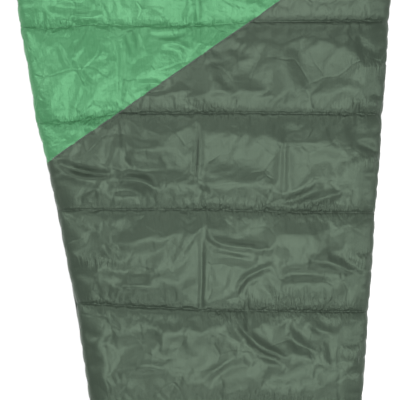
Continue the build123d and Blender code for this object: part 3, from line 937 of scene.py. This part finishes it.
def build_cover_inside(shape):
    """The cover's lining and filling."""
    rows = shape[::2, :, 1].mean(1)
    coarse = shape[::2, ::2].copy()
    x, y, z = coarse[..., 0], coarse[..., 1], coarse[..., 2]
    puff = channels(rows, [rows[0] - 1e-6, *QUILT_LINES, rows[-1] + 1e-6])[:, None]
    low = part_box("cover_lining")[0].z
    inside = np.clip((z - SEAM_Z) / (SEAM_HEIGHT - SEAM_Z), 0, 1)
    lining = coarse.copy()
    lining[:, -1, 0] -= 0.0008
    zip_side = np.linspace(0, 1, x.shape[1]) ** 3 * on_zip(1, y)
    edge = SEAM_Z + 0.0035 + (low + 0.0004 - SEAM_Z - 0.0035) * zip_side
    lining[..., 2] = edge + (low + 0.0035 - edge) * inside
    wrinkles = 0.0008 * cloud(x, y, 0.05, 12.0, 1.5)
    lining[..., 2] += inside * (0.002 * (1 - puff) + wrinkles) - 0.001 * inside * puff
    piece = grid_object("cover_lining_cloth", lining, material=LINING)
    piece.data.flip_normals()
    across_fold(piece, "lining", "cover_lining", "cover_lining_flap")
    top, under = coarse[3:-3, 4:-4].copy(), lining[3:-3, 4:-4].copy()
    middle = (top[..., 2] + under[..., 2]) / 2
    half = np.maximum((top[..., 2] - under[..., 2]) / 2 - FILL_INSET, 0.0006)
    top[..., 2] = middle + half
    under[..., 2] = middle - half
    fill = closed_pair("cover_fill", under, top, FILL)
    across_fold(fill, "batting", "cover_batt", "cover_batt_flap")


def closed_pair(name, under, top, material):
    """Two matching grids joined round their edges into one closed body."""
    rows, cols = top.shape[:2]
    index = np.arange(rows * cols).reshape(rows, cols)
    quads = np.stack([index[:-1, :-1], index[:-1, 1:], index[1:, 1:], index[1:, :-1]], -1).reshape(-1, 4)
    rim = np.concatenate([index[0, :-1], index[:-1, -1], index[-1, :0:-1], index[:0:-1, 0]])
    after = np.roll(rim, -1)
    count = rows * cols
    wall = np.stack([rim, rim + count, after + count, after], -1)[:, ::-1]
    mesh = bpy.data.meshes.new(name)
    points = np.concatenate([under.reshape(-1, 3), top.reshape(-1, 3)])
    mesh.from_pydata(points.tolist(), [], np.concatenate([quads[:, ::-1], quads + count, wall]).tolist())
    mesh.polygons.foreach_set("use_smooth", [True] * len(mesh.polygons))
    mesh.materials.append(material)
    return add_object(name, mesh)


# ---------------------------------------------------------------- the base and the hood's back

LINES = [LOOP[:, 1].min(), *QUILT_LINES, *HOOD_LINES, LOOP[:, 1].max() + 0.06]


def ring_grid(insets, rings):
    """Rings from the rim inwards: some at given insets, then more, evenly, to the bag's middle line."""
    spine_y = np.clip(LOOP[:, 1], LOOP[:, 1].min() + 0.17, LOOP[:, 1].max() - 0.40)
    left, right = sides_at(spine_y)
    spine = np.stack([(left + right) / 2, spine_y], 1)
    way = spine - LOOP
    size = np.hypot(*way.T)[:, None]
    made = [LOOP + way / size * np.reshape(inset, (-1, 1)) for inset in insets]
    inner = made[-1]
    made += [inner + (spine - inner) * t for t in np.linspace(0, 1, rings + 1)[1:]]
    return np.stack(made, 1)


def build_base_shell():
    """The outer fabric under the base and hood and up their sides."""
    flat_rings = 34
    phi = np.linspace(0, pi / 2, 11)
    zipped = on_zip(LOOP[:, 0], LOOP[:, 1])
    by_loops = smooth((LOOP[:, 1] - LOOP[:, 1].min() - 0.01) / 0.03)  # flat where the hanging loops swing up
    loose = (1 - zipped) * (0.2 + 0.8 * by_loops)
    insets = []
    for k, turn in enumerate(phi):
        creases = 0.0018 * cloud(LOOP[:, 0], LOOP[:, 1], 0.028, 40 + 0.30 * k)
        creases += 0.0010 * cloud(LOOP[:, 0], LOOP[:, 1], 0.011, 60 + 0.15 * k)
        insets.append(0.020 * (1 - cos(turn)) - (0.0040 + creases) * sin(2 * turn) * loose)
    grid = ring_grid(insets, flat_rings)
    x, y = grid[..., 0], grid[..., 1]
    puff = channels(y, LINES)
    drop = np.concatenate([np.sin(phi), np.ones(flat_rings)])
    under_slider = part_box("zip_slider")[0].z - 0.0003
    top = SEAM_Z + 0.001 + (under_slider - SEAM_Z - 0.001) * zipped[:, None]
    z = top * (1 - drop) + drop * (0.0034 * (1 - puff) ** 2)
    wrinkle = 0.0012 * cloud(x, y, 0.03, 5.0, 1.8) * (1 - puff)
    z = np.maximum(z + wrinkle * drop, 0.0002)
    side = np.exp(-(((drop - 0.5) / 0.35) ** 2))[None]
    pinch = 1 - 0.10 * side * (1 - puff)
    z = top - (top - z) * pinch
    shell = weld(grid_object("base_shell_cloth", np.stack([x, y, z], -1), loops=True, material=DARK))
    outward(shell)
    across_neck(shell, "shell_dark", "base_shell", "hood_shell")


def build_base_lining():
    """The lining over the base and hood, and the thread of its quilting."""
    flat_rings = 36
    grid = ring_grid([0.0008, 0.006, 0.014, 0.024], flat_rings)
    x, y = grid[..., 0], grid[..., 1]
    puff = channels(y, LINES)
    inside = np.concatenate([[0.0, 0.6, 0.9, 1.0], np.ones(flat_rings)])
    level = LINING_Z - 0.0085
    zipped = on_zip(LOOP[:, 0], LOOP[:, 1])[:, None]
    edge = SEAM_Z - 0.0025 + (LINING_Z - 0.0006 - SEAM_Z + 0.0025) * zipped
    z = edge + (level - edge) * inside + inside * 0.0072 * puff
    wrinkles = 0.0022 * cloud(x, y, 0.030, 15.0, 1.8) + 0.0016 * cloud(x, y, 0.10, 19.0)
    z += inside * wrinkles * (0.3 + 0.7 * puff)
    lining = weld(grid_object("base_lining_cloth", np.stack([x, y, z], -1), loops=True, material=LINING))
    across_neck(lining, "lining", "base_lining", "hood_lining")
    cloth = np.array([v.co for v in lining.data.vertices])
    runs = []
    for line in (*QUILT_LINES, *HOOD_LINES):
        left, right = sides_at(np.array([line]))
        xs = np.arange(left[0] + 0.030, right[0] - 0.030, 0.012)
        zs = [height_at(cloth, x, line) for x in xs]
        runs.append((np.column_stack([xs, np.full(len(xs), line), zs]), 0.0005))
    across_neck(stitches("lining_quilting", runs, THREAD_DARK), "lining")


def build_base_fill():
    """The filling between the base's outer fabric and its lining."""
    grid = ring_grid([0.008, 0.012], 20)
    low = np.dstack([grid, np.full(grid.shape[:2], 0.0085)])
    high = np.dstack([grid, np.full(grid.shape[:2], LINING_Z - 0.0085)])
    points = np.concatenate([low[:, ::-1], high], 1)
    fill = cap_ends(weld(grid_object("base_fill", points, loops=True, material=FILL)))
    across_neck(fill, "batting", "base_batt", "hood_batt")


def outward(piece):
    """Turns a piece that lies on its large flat side inside out if that side's faces look up."""
    if sum(face.normal.z * face.area for face in piece.data.polygons) > 0:
        piece.data.flip_normals()


# ---------------------------------------------------------------- seams and edges of the bag


def part_of_loop(inside, *lines):
    """The stretch of some loops of points where inside is true, in order from where it starts."""
    first = [i for i in range(len(inside)) if inside[i] and not inside[i - 1]][0]
    keep = np.roll(inside, -first)
    return [np.roll(line, -first, 0)[keep] for line in lines]


def build_side_binding():
    """Tape bound over the seam between cover and base, down the left side and round the foot to the zip."""
    zip_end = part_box("zip_tape_base")[0].y
    below = (LOOP[:, 0] < 0) & (LOOP[:, 1] < NECK_Y + 0.004) | (LOOP[:, 1] < zip_end - 0.003)
    path, out = part_of_loop(below, LOOP, loop_normals(LOOP))
    path = at_height(path - out * 0.0014, SEAM_Z + 0.0018)
    at = np.arange(len(path))
    path[:, 2] += 0.0006 * np.sin(at * 0.9) + 0.0004 * np.sin(at * 2.3)
    on_body(tube("side_binding", path, 0.0030, 0.0050, BINDING, sides=10, ends=0.004), "base", "webbing")
    thread = path.copy()
    thread[:, :2] += out * 0.0014
    sewn = stitches("side_binding_thread", [(thread + (0, 0, 0.0012), 0.0)], THREAD_DARK)
    on_body(sewn, "base", "webbing")


RIM_STEP = 0.0042  # spacing of the hood rim's rings
RIM_MIDDLE = 0.0145  # how far inside the outline the middle of the rim runs
RIM_LOW = SEAM_Z + 0.0005
RIM_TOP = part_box("hood_wall_batt")[1].z


def hood_line():
    """The hood's outline at even steps, its outward directions, its ripples and fine puckers, and how they
    fade at its two ends."""
    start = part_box("neck_wall_right")[0].y
    path, out = part_of_loop(LOOP[:, 1] >= start, LOOP, loop_normals(LOOP))
    run = np.concatenate([[0], np.cumsum(np.hypot(*np.diff(path, axis=0).T))])
    at = np.arange(0, run[-1], RIM_STEP)
    path, out = (np.stack([np.interp(at, run, line[:, k]) for k in (0, 1)], 1) for line in (path, out))
    out /= np.hypot(*out.T)[:, None]
    ripple = np.sin(2 * pi * at / 0.034 + 9 * noise_run(at / 0.12, 2.2))
    ripple *= np.clip(0.5 + 0.9 * noise_run(at / 0.05, 7.7), 0.05, 1)
    fine = noise_run(at / 0.009, 4.1)
    ends = smooth(np.minimum(at, at[-1] - at) / 0.03)
    return path, out, ripple, fine, ends


def rim_skin(name, line, profile, shares, material):
    """A skin over the hood's rim, closed to the rim's middle at both ends. profile holds, for each line along
    the rim, how far inside the outline it runs and its height, and shares how much of the ripple it takes."""
    path, out, ripple, fine, ends = line
    points = []
    for share, (inset, up) in zip(shares, profile):
        wave = (ripple * 0.0030 + fine * 0.0009) * share * ends
        points.append(np.column_stack([path - out * (inset - wave)[:, None], up + 0.35 * wave]))
    points = np.stack(points, 1)
    middle = at_height(path - out * RIM_MIDDLE, (RIM_LOW + RIM_TOP) / 2)
    tips = [np.repeat(middle[end][None], len(profile), 0) for end in (0, -1)]
    halves = [(points[end] + middle[end]) / 2 for end in (0, -1)]
    points = np.concatenate([[tips[0]], [halves[0]], points, [halves[1]], [tips[1]]])
    return weld(grid_object(name, points, material=material))


def build_hood_rim(line):
    """The padded wall round the hood: outer skin, inner lining and filling."""
    low, top = RIM_LOW, RIM_TOP
    outer = [
        (0.0006, low), (-0.0022, low + 0.005), (-0.0034, low + 0.011), (-0.0018, top - 0.004),
        (0.0035, top + 0.0005), (0.009, top + 0.0015), (0.0155, top + 0.0018),
    ]  # fmt: skip
    shell = rim_skin("hood_rim_cloth", line, outer, (0, 0.35, 0.7, 1, 0.9, 0.6, 0.2), DARK)
    across_neck(shell, "shell_dark", "hood_wall_shell", "neck_wall_left", "neck_wall_right")
    inner = [
        (0.0155, top + 0.0018), (0.021, top + 0.001), (0.0262, top - 0.004),
        (0.0285, top - 0.013), (0.0280, LINING_Z + 0.003), (0.0255, LINING_Z - 0.002),
    ]  # fmt: skip
    lining = rim_skin("hood_rim_lining", line, inner, (0.2, 0.6, -0.8, -1, -0.5, 0), LINING)
    across_neck(lining, "lining", "hood_wall_lining")
    ring = [
        (0.006, low + 0.003), (0.004, low + 0.012), (0.006, top - 0.006), (0.013, top - 0.003),
        (0.020, top - 0.006), (0.023, top - 0.014), (0.021, LINING_Z + 0.004), (0.013, LINING_Z + 0.003),
    ]  # fmt: skip
    path, out = (part[2:-2] for part in line[:2])
    points = np.stack([at_height(path - out * inset, z) for inset, z in ring], 1)
    fill = cap_ends(grid_object("hood_rim_fill", points, closed=True, material=FILL))
    across_neck(fill, "batting", "hood_wall_batt")


def build_casing(line):
    """The gathered casing on the hood's rim, with its two rows of thread."""
    path, out, ripple, fine, _ = line
    cased = vertices("drawcord_casing")
    right_end = cased[cased[:, 0] > 0][:, 1].min()
    left_end = cased[cased[:, 0] < 0][:, 1].min()
    keep = ~((path[:, 0] > 0) & (path[:, 1] < right_end + 0.001))
    keep &= ~((path[:, 0] < 0) & (path[:, 1] < left_end + 0.002))
    path, out, ripple, fine = (part[keep] for part in (path, out, ripple, fine))
    low, high = (corner.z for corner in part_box("drawcord_casing"))
    centre = at_height(path - out * 0.017, (low + high) / 2 + 0.0008)
    centre[:, :2] += out * (0.0007 * fine)[:, None]
    wave = (ripple * 0.10 + fine * 0.08)[:, None]
    rings = 1 + wave * np.array([1.0, 0.7, 1.0, 0.8, 1.0, 0.6, 1.0, 0.9, 0.6, 0.4, 0.5, 0.4])
    casing = tube("drawcord_casing_cloth", centre, 0.0158, 0.0128, DARK, sides=12, ripple=rings)
    set_gather(casing.data, np.full(len(casing.data.vertices), 0.8))
    on_body(casing, "hood", "shell_dark", "drawcord_casing")
    runs = [(at_height(path - out * inset, low + 0.0022), 0.0) for inset in (0.0085, 0.0255)]
    on_body(stitches("casing_thread", runs, THREAD_DARK), "hood", "shell_dark")


# ---------------------------------------------------------------- zip


def strip(name, start, end, depth, high, material):
    """A long flat tape with a thickness, cut into short lengths so that it can bend."""
    path = resample([start, end], 0.008)
    out = np.array(zip_out)
    corners = [(-depth / 2, -high / 2), (depth / 2, -high / 2), (depth / 2, high / 2), (-depth / 2, high / 2)]
    points = np.stack([path + out * a + np.array([0, 0, b]) for a, b in corners], 1)
    piece = cap_ends(grid_object(name, points, closed=True, material=material))
    piece.data.polygons.foreach_set("use_smooth", [False] * len(piece.data.polygons))
    return piece


def coil(name, start, end, wide=0.0024, high=0.0030, pitch=0.0021, wire=0.0008, steps=8):
    """A zip's coil: one filament wound along the tape's edge."""
    length = float(np.linalg.norm(end - start))
    t = np.arange(int(length / pitch) * steps + 1)
    angle = 2 * pi * t / steps
    down = (end - start) / length
    path = start + np.outer(t * length / len(t), down)
    path = path + np.outer((wide - wire) / 2 * np.cos(angle), np.array(zip_out))
    path[:, 2] += (high - wire) / 2 * np.sin(angle)
    return wire_along(name, path, down, wire, 4, COIL)


def build_zip():
    """The cover's tape, and the rows of teeth on the cover and on the base."""
    foot_z, top_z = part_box("zip_tape_cover_flap")[0].z, ZIP_EDGE_Z + TAPE_HIDDEN
    top, low = bar_ends("zip_tape_cover_flap")[0], bar_ends("zip_tape_cover")[1]
    top[2] = low[2] = (foot_z + top_z) / 2
    tape = strip("zip_tape_cover_cloth", top, low, 0.0009, top_z - foot_z, TAPE)
    across_fold(tape, "zip_tape", "zip_tape_cover", "zip_tape_cover_flap")
    top, low = bar_ends("zip_coil_cover_flap")[0], bar_ends("zip_coil_cover")[1]
    teeth = coil("zip_teeth_cover", top, low)
    across_fold(teeth, "zip_coil", "zip_coil_cover", "zip_coil_cover_flap")
    on_body(coil("zip_teeth_base", *bar_ends("zip_coil_base")), "base", "zip_coil", "zip_coil_base")


PAD_STEP = 0.008  # spacing of the rings of the draft tube and the baffles
PAD_INSET = 0.017  # how far inside the outline the baffles' middles run


def soft_tube(name, path, wide, high, ends, depth, seed):
    """A padded tube of lining cloth, uneven by a share of its width."""
    sides = 14
    uneven = [[noise.noise((i / 4.0, j / 3.0, seed)) for j in range(sides)] for i in range(len(path))]
    return tube(name, path, wide, high, LINING, sides=sides, ends=ends, ripple=1 + depth * np.array(uneven))


def build_soft_tubes():
    """The draft tube behind the zip and the two baffles inside the bag."""
    low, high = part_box("draft_tube")
    path = resample(bar_ends("draft_tube"), PAD_STEP)
    piece = soft_tube("draft_tube_cloth", path, 0.0178, high.z - low.z, 0.012, 0.07, 3.3)
    across_fold(piece, "baffle", "draft_tube")
    low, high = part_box("left_block_baffle")
    middle_z = (low.z + high.z) / 2
    rows = np.arange(low.y + 0.002, high.y - 0.002, PAD_STEP)
    left, _ = sides_at(rows)
    down_side = at_height(np.column_stack([left + PAD_INSET, rows]), middle_z)
    ring = LOOP - loop_normals(LOOP) * PAD_INSET
    (foot,) = part_of_loop(ring[:, 1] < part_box("foot_baffle")[1].y - 0.003, ring)
    round_foot = resample(at_height(foot, middle_z), PAD_STEP)
    for name, path, old in (
        ("left_block_pad", down_side, "left_block_baffle"),
        ("foot_pad", round_foot, "foot_baffle"),
    ):
        piece = soft_tube(name, path, 0.021, 0.0098, 0.010, 0.10, 6.3)
        on_body(piece, "base", "baffle", old)


# ---------------------------------------------------------------- small hard parts


def build_toggle_spring():
    """The toggle's spring, wound along the axis on which the button goes in."""
    wire, turns, steps = 0.0008, 4, 20
    points = vertices("cord_lock_spring")
    press = np.array(joints["toggle_press"]["axis"])
    centre = points.mean(0)
    from_axis = (points - centre) - np.outer((points - centre) @ press, press)
    radius = np.linalg.norm(from_axis, axis=1).max() - wire / 2
    length = np.ptp(points @ press) - wire
    side = np.cross(press, (0, 0, 1))
    t = np.arange(turns * steps + 1) / steps
    path = centre + np.outer(length * (t / turns - 0.5), press)
    path += radius * (np.outer(np.cos(2 * pi * t), side) + np.outer(np.sin(2 * pi * t), (0, 0, 1)))
    spring = wire_along("toggle_spring", path, press, wire, 8, STEEL)
    on_body(spring, "hood", "steel", "cord_lock_spring")
    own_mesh(spring)


# The CAD nodes that stay, after their material
CARRIED = (
    (TAPE_SOLID, "zip_tape_base"),
    (METAL, "zip_top_stop_base", "zip_top_stop_cover", "zip_bottom_stop"),
    (METAL, "zip_slider", "zip_pull", "zip_inner_pull"),
    (RUBBER, "zip_pull_grip"),
    (WEBBING, "closure_tab", "closure_tab_anchor", "hanging_loop_left", "hanging_loop_right"),
    (HOOKS, "closure_hook_patch", "closure_loop_patch"),
    (CORD, "drawcord"),
    (STEEL, "casing_eyelet"),
    (TOGGLE, "cord_lock_barrel", "cord_lock_button", "cord_end_stop"),
)


def dress_carried_nodes():
    """Gives each CAD node that stays its material."""
    for material, *names in CARRIED:
        for piece in (nodes[name] for name in names):
            if not piece.data.materials:
                piece.data.materials.append(material)
            for place in piece.material_slots:
                place.material = material


# ---------------------------------------------------------------- floor, light and camera


def build_studio():
    """A pale floor, soft light from above and from each side, and the camera straight above the cover."""
    floor = bpy.data.meshes.new("floor")
    floor.from_pydata([(-30, -30, 0), (30, -30, 0), (30, 30, 0), (-30, 30, 0)], [], [(0, 1, 2, 3)])
    piece = add_object("floor", floor)
    piece.location.z = -0.0005
    paint = Shader("floor_paint", Roughness=0.8)
    solid = paint.place(uv=False)
    paint.colour(paint.noise(solid, 0.8, 2), (0.90, 0.90, 0.90), (0.93, 0.93, 0.93))
    floor.materials.append(paint.material)
    world = bpy.data.worlds.new("studio")
    world.use_nodes = True
    world.node_tree.nodes["Background"].inputs["Color"].default_value = (1, 1, 1, 1)
    world.node_tree.nodes["Background"].inputs["Strength"].default_value = 0.50
    bpy.context.scene.world = world
    for name, place, target, size, power in (
        ("over", (0.25, -0.50, 3.1), (0.1, -0.2, 0), (1.9, 2.1), 74),
        ("left", (-2.5, 0.8, 2.3), (0, 0.1, 0), (0.9, 2.4), 48),
        ("right", (2.6, -0.3, 2.3), (0, -0.1, 0), (0.9, 2.4), 40),
        ("foot", (0.2, -2.9, 2.2), (0, -0.2, 0), (2.2, 0.7), 34),
        ("head", (-0.2, 2.7, 2.4), (0, 0.2, 0), (2.2, 0.8), 30),
    ):
        lamp = bpy.data.lights.new(name, "AREA")
        lamp.shape, lamp.size, lamp.size_y, lamp.energy = "RECTANGLE", *size, power
        light = add_object(name, lamp)
        light.location = place
        light.rotation_euler = (Vector(target) - Vector(place)).to_track_quat("-Z", "Y").to_euler()
        light.visible_camera = False
    camera = add_object("camera", bpy.data.cameras.new("camera"))
    height, seen = 3.0, 0.80  # the camera's height, and the width that it sees at the cover's top
    camera.location = (-0.009, -0.050, height)
    camera.data.sensor_width = 36
    camera.data.lens = 36 * (height - COVER_TOP) / seen
    bpy.context.scene.camera = camera
    bpy.context.scene.view_settings.view_transform = "Standard"


build_studio()
cover, cover_seams = build_cover()
build_cover_sewing(cover, cover_seams)
build_cover_inside(cover)
build_base_shell()
build_base_lining()
build_base_fill()
build_side_binding()
hood_rim = hood_line()
build_hood_rim(hood_rim)
build_casing(hood_rim)
build_zip()
build_soft_tubes()
build_toggle_spring()
dress_carried_nodes()
